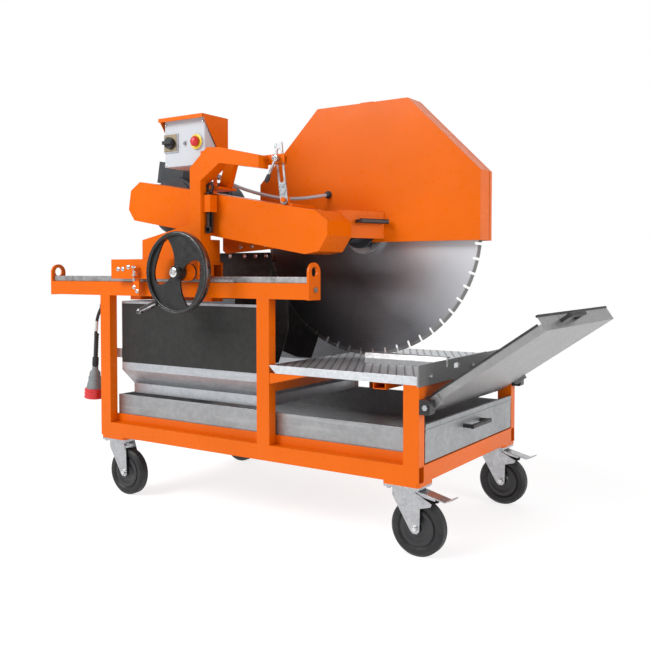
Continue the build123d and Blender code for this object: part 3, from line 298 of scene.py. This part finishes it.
ORANGE = paint("orange_powder_coat", (0.76, 0.13, 0.0))
TABLE = galvanised("galvanised_table", (0.7, 0.73, 0.76), 0.4, grip=True)
SHEET = galvanised("galvanised_sheet", (0.5, 0.52, 0.55), 0.2, 90)
TRAY = galvanised("galvanised_tray", (0.37, 0.38, 0.39), 0.3, 80, 0.45, 0.06, 0.4)
BRUSHED = galvanised("brushed_sheet", (0.33, 0.33, 0.335), 0.3, 160, 0.42, 0.04, 0.2)
PALE_HOSE = plain_plastic("pale_hose", (0.42, 0.43, 0.45), 0.4)
ZINC = plated("zinc_plating", (0.5, 0.51, 0.53))
RAIL = plated("rail_steel", (0.5, 0.5, 0.51), 0.34, 0.6)
BRIGHT = plated("bright_steel", (0.78, 0.78, 0.78), 0.18, 0.12)
RUBBER = rubber("black_rubber", (0.012, 0.012, 0.013))
TYRE = rubber("tyre_rubber", (0.007, 0.0075, 0.009), 0.55, 0.1)
PLASTIC = rubber("black_plastic", (0.014, 0.014, 0.015), 0.42, 0.12)
PANEL = rubber("black_panel", (0.008, 0.008, 0.0075), 0.6, 0.06, 260)
GREY_PLASTIC = rubber("grey_plastic", (0.2, 0.215, 0.225), 0.5, 0.2)
RED = plain_plastic("red_plastic", (0.62, 0.015, 0.02))
YELLOW = plain_plastic("yellow_plastic", (0.82, 0.6, 0.02))
WHITE = plain_plastic("white_sleeve", (0.7, 0.7, 0.68), 0.5)
BRONZE = plated("bronze_plate", (0.3, 0.25, 0.17), 0.4, 0.3)
MOTOR = rubber("motor_casting", (0.022, 0.026, 0.033), 0.45, 0.22, 220)
CABINET = paint("grey_cabinet", (0.56, 0.58, 0.62), 0.05, 0.4)
IRON = rubber("black_iron", (0.013, 0.013, 0.014), 0.3, 0.12)
# Plated metal used for the painted sheen on the handwheel's rim and for the crank grip.
RIM_SHEEN_AND_GRIP = plated("rim_sheen_and_grip_metal", (0.22, 0.22, 0.23), 0.3, 0.5)
BLADE = blade_steel("blade_steel")
HUB = plain_plastic("dark_hub", (0.012, 0.0125, 0.015), 0.4)

NODE_LOOKS = {
    ORANGE: ["base_frame", "frame_posts", "rail_beam", "rail_end_plates", "table_supports",
             "carriage_frame", "column", "control_canopy", "arm_beam", "belt_guard", "spindle_cover",
             "hood_shell", "hood_cover"],
    TABLE: ["table_plates"],
    SHEET: ["hopper"],
    BRUSHED: ["stop_plate", "splash_panel", "work_fence"],
    TRAY: ["slurry_tray"],
    ZINC: ["frame_fasteners", "caster_plates", "depth_bar", "clamp_lever", "brake_pedal_front_right",
           "brake_pedal_rear_right", "caster_fork_front_left", "caster_fork_rear_left",
           "caster_fork_front_right", "caster_fork_rear_right", "blade_flanges"],
    RAIL: ["guide_rail", "gear_rack", "spindle_shaft"],
    BRIGHT: ["index_plunger", "pinion_shaft"],
    RUBBER: ["splash_curtain", "panel_trim", "power_lead", "drive_belts"],
    PALE_HOSE: ["water_hose"],
    TYRE: ["caster_wheel_front_left", "caster_wheel_rear_left", "caster_wheel_front_right",
           "caster_wheel_rear_right"],
    PLASTIC: ["tray_handle", "switch_knob", "lead_gland", "hood_handle"],
    PANEL: ["hopper_panel"],
    GREY_PLASTIC: ["power_plug"],
    RED: ["stop_button"],
    MOTOR: ["motor", "spindle_housing", "motor_pulley"],
    CABINET: ["control_box"],
    IRON: ["handwheel", "spanners", "hinge_blocks"],
    RIM_SHEEN_AND_GRIP: ["crank_grip"],
    BLADE: ["saw_blade"],
}
for material, names in NODE_LOOKS.items():
    for name in names:
        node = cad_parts[name]
        node.data.materials.clear()
        node.data.materials.append(material)
        for face in node.data.polygons:
            face.material_index = 0


# ---------------------------------------------------------------- piece helpers
def aimed(origin, direction):
    """Matrix that puts a piece's own origin at a point and turns its Z to a direction."""
    turn = Vector(direction).to_track_quat("Z", "Y").to_matrix().to_4x4()
    return Matrix.Translation(origin) @ turn


def finish_piece(name, work, material, body, bevel=0.0):
    """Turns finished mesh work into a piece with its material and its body."""
    mesh = bpy.data.meshes.new(name)
    work.to_mesh(mesh)
    work.free()
    piece = add_object(name, mesh)
    mesh.materials.append(material)
    for face in mesh.polygons:
        face.use_smooth = True
    mesh.set_sharp_from_angle(angle=math.radians(35))
    if bevel:
        modifier = piece.modifiers.new("edges", "BEVEL")
        modifier.width = bevel
        modifier.segments = 2
        modifier.limit_method = "ANGLE"
    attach(piece, body)
    return piece


def turned(name, profile, origin, direction, material, body, segments=40):
    """A lathe-turned piece: profile is (radius, height) in millimetres along direction from origin."""
    work = bmesh.new()
    rings = []
    for radius, height in profile:
        ring = []
        for index in range(segments):
            angle = 2 * math.pi * index / segments
            ring.append(work.verts.new((radius / 1000 * math.cos(angle), radius / 1000 * math.sin(angle),
                                        height / 1000)))
        rings.append(ring)
    for low, high in zip(rings, rings[1:]):
        for index in range(segments):
            after = (index + 1) % segments
            work.faces.new((low[index], low[after], high[after], high[index]))
    work.faces.new(list(reversed(rings[0])))
    work.faces.new(rings[-1])
    bmesh.ops.remove_doubles(work, verts=work.verts, dist=1e-6)
    work.transform(aimed(origin, direction))
    bmesh.ops.recalc_face_normals(work, faces=work.faces)
    return finish_piece(name, work, material, body)


def ring_band(name, profile, material, body, steps=96):
    """A closed ring about the handwheel's axis: profile is (radius, y) in millimetres."""
    work = bmesh.new()
    rows = []
    for index in range(steps):
        angle = 2 * math.pi * index / steps
        rows.append([work.verts.new(at(WHEEL_X + radius * math.cos(angle), y,
                                       WHEEL_Z + radius * math.sin(angle)))
                     for radius, y in profile])
    for index in range(steps):
        here, there = rows[index], rows[(index + 1) % steps]
        for step in range(len(profile)):
            after = (step + 1) % len(profile)
            work.faces.new((here[step], here[after], there[after], there[step]))
    bmesh.ops.recalc_face_normals(work, faces=work.faces)
    return finish_piece(name, work, material, body)


def plate(name, low, high, material, body):
    """A bevelled block between two corners in working millimetres."""
    work = bmesh.new()
    first, last = at(*low), at(*high)
    made = bmesh.ops.create_cube(work, size=1.0)["verts"]
    scale = Matrix.Diagonal((*(last - first), 1.0))
    bmesh.ops.transform(work, matrix=Matrix.Translation((first + last) / 2) @ scale, verts=made)
    return finish_piece(name, work, material, body, bevel=0.0015)


def bolt(work, place, flats, head, washer):
    """A hexagon head with a chamfer on a washer, sizes in millimetres, added at a matrix."""
    washer_top = 0.0015
    shoulder = washer_top + head / 1000 * 0.8
    head_top = washer_top + head / 1000
    radius = flats / 2 / math.cos(math.pi / 6) / 1000
    washer_radius = washer / 2000
    for lower, upper, low, high, sides in (
        (washer_radius, washer_radius, 0.0, washer_top, 28),
        (radius, radius, washer_top, shoulder, 6),
        (radius * 0.86, radius * 0.8, shoulder, head_top, 6),
    ):
        made = bmesh.ops.create_cone(work, cap_ends=True, segments=sides, radius1=lower, radius2=upper,
                                     depth=high - low)["verts"]
        middle = Matrix.Translation((0, 0, (low + high) / 2))
        bmesh.ops.transform(work, matrix=place @ middle, verts=made)


def bolts(name, places, body, flats=13, head=5, washer=20):
    """Hexagon bolts at each (point, direction), as one piece."""
    work = bmesh.new()
    for point, direction in places:
        bolt(work, aimed(at(*point), direction), flats, head, washer)
    return finish_piece(name, work, BRIGHT, body)


def on_face(direction, *points):
    """Places for bolts that all look the same way."""
    return [(point, direction) for point in points]


def tube(name, points, diameter, material, body):
    """A smooth cord or hose on a NURBS curve through listed points in working millimetres."""
    curve = bpy.data.curves.new(name, "CURVE")
    curve.dimensions = "3D"
    curve.bevel_depth = diameter / 2000
    curve.bevel_resolution = 5
    curve.use_fill_caps = True
    spline = curve.splines.new("NURBS")
    spline.points.add(len(points) - 1)
    for point, place in zip(spline.points, points):
        point.co = (*at(*place), 1.0)
    spline.order_u = 3
    spline.use_endpoint_u = True
    spline.resolution_u = 10
    curve.materials.append(material)
    piece = add_object(name, curve)
    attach(piece, body)
    return piece


# ---------------------------------------------------------------- supply lead and plug
LEAD = [(-14, 20, 822), (-40, 20, 786), (-55, 21, 730), (-57, 22, 668), (-61, 24, 606), (-66, 25, 552)]
lead = tube("supply_lead", LEAD, 14, RUBBER, "frame")
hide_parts("power_lead")
plug_down = (at(*LEAD[-1]) - at(*LEAD[-2])).normalized()
plug_top = at(*LEAD[-1])

RIB_COUNT = 9
RIB_PITCH = 11
guard_ribs = [(8.5, -150), (10.5, -146)]
for rib in range(RIB_COUNT):
    shift = rib * RIB_PITCH
    guard_ribs += [(11.5, -142 + shift), (9.0, -138 + shift), (9.0, -134 + shift), (11.5, -131.5 + shift)]
guard_ribs += [(14, -40), (14, -6), (12, 0)]
kink_guard = turned("kink_guard", guard_ribs, plug_top, plug_down, RUBBER, "frame")

SLEEVE_TOP = at(-49.5, 20.6, 757)
SLEEVE_AIM = at(-55, 21, 710) - SLEEVE_TOP
sleeve = turned("lead_sleeve", [(7.6, 0), (8.4, 1), (8.4, 44), (7.6, 46)], SLEEVE_TOP, SLEEVE_AIM,
                WHITE, "frame")

SHELL_PROFILE = [(12, 0), (14, 3), (14, 14), (21, 22), (24, 28), (25, 44), (28, 46), (28.5, 58), (27, 60),
                 (31, 74), (34, 92), (36, 94), (36, 106), (30, 108)]
plug_shell = turned("plug_shell", SHELL_PROFILE, plug_top, plug_down, GREY_PLASTIC, "frame")
COLLAR_PROFILE = [(38, 98), (42, 100), (43, 102), (43, 109), (41, 111), (41, 116), (43, 118), (43, 123),
                  (41, 125), (41, 130), (43, 132), (43, 140), (41.5, 142), (37.5, 142), (37.5, 112),
                  (30, 110)]
plug_collar = turned("plug_collar", COLLAR_PROFILE, plug_top, plug_down, RED, "frame")
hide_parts("power_plug")

PIN_COUNT = 5
PIN_CIRCLE = 0.022
PIN_MIDDLE = 0.124
work = bmesh.new()
for index in range(PIN_COUNT):
    angle = index * 2 * math.pi / PIN_COUNT
    made = bmesh.ops.create_cone(work, cap_ends=True, segments=16, radius1=0.0035, radius2=0.0033,
                                 depth=0.036)["verts"]
    local = Matrix.Translation((PIN_CIRCLE * math.cos(angle), PIN_CIRCLE * math.sin(angle), PIN_MIDDLE))
    bmesh.ops.transform(work, matrix=aimed(plug_top, plug_down) @ local, verts=made)
pins = finish_piece("plug_pins", work, BRIGHT, "frame")

# ---------------------------------------------------------------- water hose
HOSE = [(497, 212, 1380), (545, 213, 1356), (615, 213, 1327), (695, 213, 1302), (780, 215, 1281),
        (845, 232, 1270), (897, 272, 1272), (934, 322, 1282), (953, 377, 1292)]
hose = tube("hose", HOSE, 14, PALE_HOSE, "arm")
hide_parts("water_hose")
turned("hose_grommet", [(8, -14), (12, -13), (13, -9), (13, -3), (16, -2), (16, 0), (8, 0)],
       at(953, 376, 1292), BACK, RUBBER, "arm")
turned("hose_valve", [(6, -30), (11, -29), (11, -14), (9, -13), (9, 2), (12, 3), (12, 12), (8, 14)],
       at(*HOSE[0]), at(*HOSE[1]) - at(*HOSE[0]), ZINC, "arm")

# ---------------------------------------------------------------- handwheel
BAND_PROFILE = [(154, -124.6), (158, -122), (160.4, -118), (160.4, -98), (158, -94), (159.4, -98),
                (159.4, -117.5), (157, -121)]
# Painted sheen: a thin pale metal skin over the outer face of the black handwheel's rim stands in for its
# gloss reflection.
ring_band("wheel_rim_sheen_band", BAND_PROFILE, RIM_SHEEN_AND_GRIP, "handwheel")
turned("wheel_cap", [(19, 0), (19, 1.5), (17, 3), (12, 3.4), (11, 2.4), (6, 2.4), (5, 3.6), (0.1, 4)],
       at(WHEEL_X, -134, WHEEL_Z), FRONT, BRIGHT, "handwheel")
turned("shaft_boss", [(36, 0), (36, 4), (33, 7), (33, 40), (30, 44), (26, 46)],
       at(WHEEL_X, -40, WHEEL_Z), FRONT, IRON, "carriage")

# ---------------------------------------------------------------- control box details
plate("switch_plate", (369, 24, 1470), (439, 26.2, 1540), BRONZE, "carriage")
plate("knob_grip", (382, -0.6, 1499), (426, 0.2, 1511), PLASTIC, "switch_knob")
turned("stop_ring", [(30.3, 0), (30.3, 2), (27, 4), (23, 4.4), (20, 3)], at(546, 26, 1500), FRONT,
       YELLOW, "carriage", 48)
turned("lamp", [(7, 0), (7, 2), (5.4, 3.4), (0.5, 4)], at(480, 29, 1499), FRONT, GREY_PLASTIC,
       "carriage", 24)
bolts("box_screws", on_face(FRONT, (372, 32, 1416), (556, 32, 1416), (372, 32, 1580), (578, 32, 1580)),
      "carriage", 7, 3, 10)

# ---------------------------------------------------------------- bolts on the head
bolts("plate_bolts", on_face(FRONT, (159, -40, 987), (187, -40, 987), (220, -40, 995)), "carriage")
bolts("stop_bolts", on_face(RIGHT, (1572, 72, 620), (1572, 424, 624)), "frame", 13, 5, 19)
bolts("lock_bolts", on_face(FRONT, (244, -30, 911), (262, -30, 894)), "carriage", 12, 5, 18)
bolts("fork_bolts", on_face(FRONT, (862, 27, 1400)), "carriage", 17, 8, 26)
bolts("arm_bolts", on_face(FRONT, (640, 190, 1078), (700, 190, 1080), (770, 190, 1084)),
      "arm", 12, 5, 18)
turned("clamp_head", [(13, 0), (13, 2), (10, 3), (10, 9), (8, 11), (4, 11)], at(957, 8, 1400), FRONT,
       BRIGHT, "clamp_lever", 6)
turned("lever_knob", [(4, 0), (7, 3), (9, 12), (9, 26), (6, 33), (2, 35)], at(927, 12, 1343),
       at(923, 12, 1335) - at(957, 12, 1400), PLASTIC, "clamp_lever", 24)
bolts("curtain_bolts", on_face(FRONT, *((x, 265, 1042) for x in (450, 520, 600, 660, 715))),
      "carriage", 10, 4, 18)

# ---------------------------------------------------------------- hood and motor details
bolts("cover_bolts", on_face(BACK, (650, 484, 1180), (1560, 484, 1180), (850, 484, 1500),
                             (1370, 484, 1500)), "hood_cover", 13, 5, 20)
GRILLE_PROFILE = [(122, 0), (122, 1.5), (112, 4), (108, 2), (96, 2), (92, 4), (80, 4), (76, 2), (62, 2),
                  (58, 4), (44, 4), (40, 2), (24, 2), (20, 4), (1, 4.5)]
turned("motor_fan_grille", GRILLE_PROFILE, at(243, 566, 1269), BACK, MOTOR, "arm", 56)


# ---------------------------------------------------------------- casters
def caster_details(name, x, y):
    """Dark hub discs on both faces of a wheel, and the nuts on its axle."""
    profile = [(64, 0), (64, 1.6), (58, 3.2), (50, 3.4), (47, 1.8), (30, 1.8), (27, 5), (20, 5.4), (17, 3)]
    middle = x + CASTER_TRAIL
    for side, direction in (("front", FRONT), ("rear", BACK)):
        turned(f"hub_{name}_{side}", profile, at(middle, y + direction[1] * 17.2, CASTER_AXLE_Z),
               direction, HUB, "wheel_" + name, 48)
    nuts = [((middle, y + direction[1] * 33, CASTER_AXLE_Z), direction) for direction in (FRONT, BACK)]
    bolts(f"axle_nuts_{name}", nuts, "fork_" + name, 18, 7.6, 26)


for name, x, y in (("front_left", 71, 55), ("rear_left", 71, 827), ("front_right", 1495, 55),
                   ("rear_right", 1495, 827)):
    caster_details(name, x, y)

# ---------------------------------------------------------------- floor and backdrop
FLOOR_HALF = 60
floor_mesh = bpy.data.meshes.new("floor")
floor_mesh.from_pydata([(-FLOOR_HALF, -FLOOR_HALF, 0), (FLOOR_HALF, -FLOOR_HALF, 0),
                        (FLOOR_HALF, FLOOR_HALF, 0), (-FLOOR_HALF, FLOOR_HALF, 0)], [], [(0, 1, 2, 3)])
floor = add_object("floor", floor_mesh)
floor_look = Graph("floor_pale").set(Roughness=0.9, Specular_IOR_Level=0.0, Emission_Strength=0.74)
floor_look.set(Emission_Color=(1.0, 1.0, 1.0, 1.0))
mottle = floor_look.span(floor_look.noise(0.6, 3), 0.3, 0.7)
floor_look.color(floor_look.blend(mottle, (0.36, 0.36, 0.36), (0.4, 0.4, 0.4)))
floor_mesh.materials.append(floor_look.material)

# The backdrop is white towards the far left and falls off to grey, so that the near side is dimmer.
FAR_SIDE = (-0.556, 0.831, 0.0)
world = bpy.data.worlds.new("studio")
world.use_nodes = True
world_nodes, world_links = world.node_tree.nodes, world.node_tree.links
backdrop = world_nodes["Background"]
view_direction = world_nodes.new("ShaderNodeTexCoord").outputs["Generated"]
farness = world_nodes.new("ShaderNodeVectorMath")
farness.operation = "DOT_PRODUCT"
farness.inputs[1].default_value = FAR_SIDE
world_links.new(view_direction, farness.inputs[0])
falloff = world_nodes.new("ShaderNodeMapRange")
for key, value in (("From Min", 0.1), ("From Max", 0.75), ("To Min", 0.3), ("To Max", 1.0)):
    falloff.inputs[key].default_value = value
world_links.new(farness.outputs["Value"], falloff.inputs["Value"])
world_links.new(falloff.outputs["Result"], backdrop.inputs["Strength"])
backdrop.inputs["Color"].default_value = (1.0, 1.0, 1.0, 1.0)
bpy.context.scene.world = world


# ---------------------------------------------------------------- lights and camera
def area_light(name, place, target, side, power):
    """A square light at a place, turned to a target, in metres and watts."""
    light = bpy.data.lights.new(name, "AREA")
    light.shape = "RECTANGLE"
    light.size = light.size_y = side
    light.energy = power
    light_object = add_object(name, light)
    light_object.location = place
    aim = Vector(target) - Vector(place)
    light_object.rotation_euler = aim.to_track_quat("-Z", "Y").to_euler()


area_light("key", (-2.2, -3.6, 3.4), (0, 0, 0.9), 2.0, 110)
area_light("side", (4.2, -0.6, 1.9), (0, 0, 1.0), 1.6, 75)
sun = bpy.data.lights.new("sun", "SUN")
sun.energy = 1.15
sun.angle = math.radians(35)
sun_object = add_object("sun", sun)
sun_object.rotation_euler = Vector((0.3, 0.72, -0.62)).to_track_quat("-Z", "Y").to_euler()

# The camera is the one solved from the photo's frame edges: its place is in working millimetres.
CAMERA_PLACE = (2830, -2458, 979)
YAW = math.radians(33.77)
PITCH = math.radians(1.8)
camera_data = bpy.data.cameras.new("camera")
camera_data.sensor_width = 36.0
camera_data.lens = 45.6
camera_data.clip_end = 200
camera_data.shift_x = 0.0003
camera_data.shift_y = -0.0434
camera = add_object("camera", camera_data)
forward = Vector((-math.sin(YAW) * math.cos(PITCH), math.cos(YAW) * math.cos(PITCH), -math.sin(PITCH)))
camera.location = at(*CAMERA_PLACE)
camera.rotation_euler = forward.to_track_quat("-Z", "Y").to_euler()
bpy.context.scene.camera = camera
bpy.context.scene.view_settings.view_transform = "Standard"
